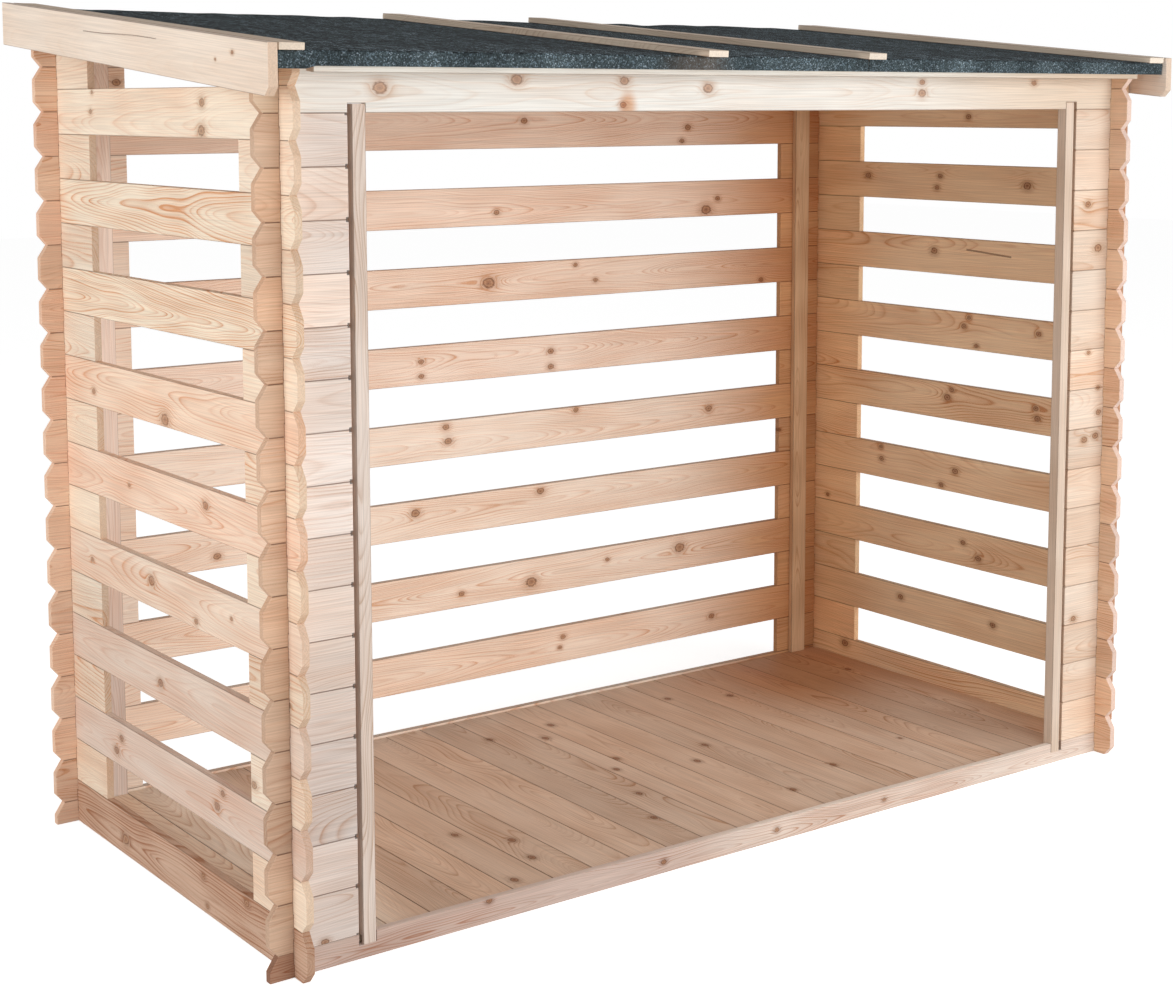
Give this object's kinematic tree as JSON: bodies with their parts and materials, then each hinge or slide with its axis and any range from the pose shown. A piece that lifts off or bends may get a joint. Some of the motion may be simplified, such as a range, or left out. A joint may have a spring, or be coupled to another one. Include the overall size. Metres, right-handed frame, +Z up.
{
  "type": "log store",
  "caption": "Open-slatted timber log store of interlocking wall boards with a board floor and a felt roof that falls to the front.",
  "frame": {"origin": "middle of the walls' footprint at ground level, on the underside of the middle floor joist", "axes": "+X along the length to the right seen from the front, +Y from the open front to the back wall, +Z up"},
  "size_m": [2.386, 1.26, 1.8206],
  "materials": {
    "wall_timber": "planed, untreated",
    "floor_timber": "planed, untreated",
    "roof_timber": "sawn, untreated",
    "roof_felt": "mineral granules"
  },
  "bodies": {
    "root": {"back_sill": "wall_timber", "back_top_board": "wall_timber", "back_wall_left_blocks": "wall_timber", "back_wall_right_blocks": "wall_timber", "back_wall_slats": "wall_timber", "floor_boards_even": "floor_timber", "floor_boards_odd": "floor_timber", "floor_joists": "floor_timber", "front_eaves_batten": "roof_timber", "front_left_blocks_odd": "wall_timber", "front_left_blocks_even": "wall_timber", "front_lintel": "wall_timber", "front_right_blocks_odd": "wall_timber", "front_right_blocks_even": "wall_timber", "front_sill": "wall_timber", "left_bargeboard": "roof_timber", "left_base_board": "wall_timber", "left_corner_batten": "wall_timber", "left_edge_roof_batten": "roof_timber", "left_front_post": "wall_timber", "left_joint_roof_batten": "roof_timber", "left_roof_felt": "roof_felt", "left_wall_front_blocks": "wall_timber", "left_wall_rear_blocks": "wall_timber", "left_wall_slats": "wall_timber", "left_wall_top_wedge": "wall_timber", "middle_roof_felt": "roof_felt", "rear_eaves_batten": "roof_timber", "right_bargeboard": "roof_timber", "right_base_board": "wall_timber", "right_corner_batten": "wall_timber", "right_edge_roof_batten": "roof_timber", "right_front_post": "wall_timber", "right_joint_roof_batten": "roof_timber", "right_roof_felt": "roof_felt", "right_wall_front_blocks": "wall_timber", "right_wall_rear_blocks": "wall_timber", "right_wall_slats": "wall_timber", "right_wall_top_wedge": "wall_timber", "roof_boards_even": "roof_timber", "roof_boards_odd": "roof_timber"}
  },
  "joints": []
}
